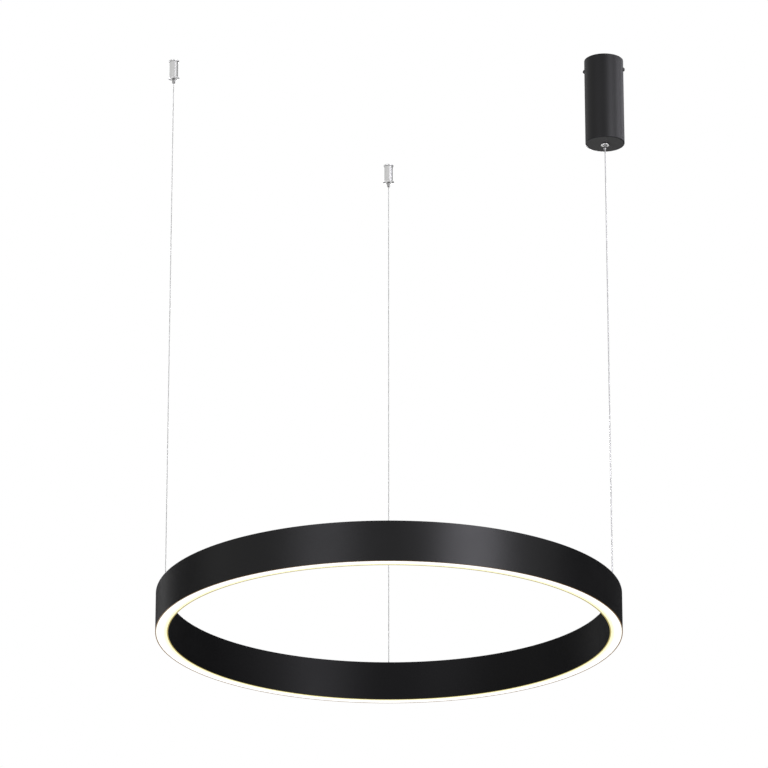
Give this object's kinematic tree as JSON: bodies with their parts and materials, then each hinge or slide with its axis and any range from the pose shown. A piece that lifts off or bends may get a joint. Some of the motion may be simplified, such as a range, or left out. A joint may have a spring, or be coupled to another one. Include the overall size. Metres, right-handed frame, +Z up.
{
  "type": "ring pendant light",
  "caption": "Slim round ring lamp with a glowing underside, hung level from the ceiling on thin cables, with a cylinder canopy for the driver.",
  "frame": {"origin": "point of the ceiling straight above the ring's centre", "axes": "+Z up into the ceiling; +Y towards the far cable; +X towards the side with the canopy"},
  "size_m": [0.8176, 0.8, 1.04],
  "materials": {
    "ring_paint": "matt black powder coat on extruded aluminium",
    "black_paint": "matt black powder coat",
    "nickel": "nickel plate",
    "sheet_steel": "zinc-plated sheet",
    "steel_cable": "stranded stainless steel",
    "power_cord": "clear sheath over tinned strands",
    "spring_steel": "bright wire",
    "brass": "turned",
    "opal": "opal, lit from behind",
    "white_plastic": "moulded",
    "tape": "white solder mask",
    "chips": "phosphor",
    "brown_lead": "insulated wire",
    "red_lead": "insulated wire",
    "black_plastic": "moulded"
  },
  "bodies": {
    "ceiling_fittings": {"canopy_shell": "black_paint", "canopy_bracket": "sheet_steel", "canopy_screws": "black_paint", "driver_hanger": "sheet_steel", "hanger_screws": "sheet_steel", "led_driver": "white_plastic", "driver_screws": "sheet_steel", "terminal_block": "white_plastic", "input_leads": "brown_lead", "output_leads": "black_plastic", "gland_body": "nickel", "gland_nut": "brass", "gland_cap": "brass", "power_spring": "spring_steel", "power_cable_tail": "power_cord", "left_anchor_base": "nickel", "left_barrel": "nickel", "left_spring": "spring_steel", "left_cable_tail": "steel_cable", "far_anchor_base": "nickel", "far_barrel": "nickel", "far_spring": "spring_steel", "far_cable_tail": "steel_cable"},
    "power_release": {"power_plunger": "nickel", "power_grip_balls": "spring_steel"},
    "left_release": {"left_plunger": "nickel", "left_grip_balls": "spring_steel"},
    "far_release": {"far_plunger": "nickel", "far_grip_balls": "spring_steel"},
    "far_cable": {"far_cable": "steel_cable"},
    "far_hanger": {"far_cable_end": "nickel"},
    "ring": {"ring_housing": "ring_paint", "led_tape": "tape", "led_chips": "chips", "diffuser": "opal", "ring_leads": "red_lead", "cable_bushings": "nickel", "bushing_nuts": "sheet_steel", "power_cable_end": "black_plastic", "left_cable_end": "nickel"},
    "left_cable": {"left_cable": "steel_cable"},
    "power_cable": {"power_cable": "power_cord"}
  },
  "joints": [
    {"name": "ring_swing", "type": "hinge", "parent": "ceiling_fittings", "child": "far_cable", "pos_m": [0, 0.389, -0.039], "axis": [0, 1, 0], "range_deg": [-3, 3]},
    {"name": "ring_height", "type": "slide", "parent": "far_cable", "child": "far_hanger", "axis": [0, 0, 1], "range_m": [0, 0.25], "deforming": ["far_cable", "left_cable", "power_cable"]},
    {"name": "ring_level", "type": "hinge", "parent": "far_hanger", "child": "ring", "pos_m": [0, 0.389, -0.98145], "axis": [0, 1, 0], "range_deg": [-3, 3]},
    {"name": "left_cable_swing", "type": "hinge", "parent": "ceiling_fittings", "child": "left_cable", "pos_m": [-0.3805, -0.08088, -0.039], "axis": [0, 1, 0], "range_deg": [-3, 3]},
    {"name": "power_cable_swing", "type": "hinge", "parent": "ceiling_fittings", "child": "power_cable", "pos_m": [0.3805, -0.08088, -0.1655], "axis": [0, 1, 0], "range_deg": [-3.6, 3.6]},
    {"name": "power_press", "type": "slide", "parent": "ceiling_fittings", "child": "power_release", "axis": [0, 0, 1], "range_m": [0, 0.0025], "stiffness_N_per_m": 2000, "springref_m": -0.001, "deforming": ["power_spring"]},
    {"name": "left_press", "type": "slide", "parent": "ceiling_fittings", "child": "left_release", "axis": [0, 0, 1], "range_m": [0, 0.0025], "stiffness_N_per_m": 2000, "springref_m": -0.001, "deforming": ["left_spring"]},
    {"name": "far_press", "type": "slide", "parent": "ceiling_fittings", "child": "far_release", "axis": [0, 0, 1], "range_m": [0, 0.0025], "stiffness_N_per_m": 2000, "springref_m": -0.001, "deforming": ["far_spring"]}
  ],
  "couplings": [
    {"joint": "ring_level", "follows": "ring_swing", "ratio": -1},
    {"joint": "left_cable_swing", "follows": "ring_swing", "ratio": 1},
    {"joint": "power_cable_swing", "follows": "ring_swing", "ratio": 1.184}
  ]
}
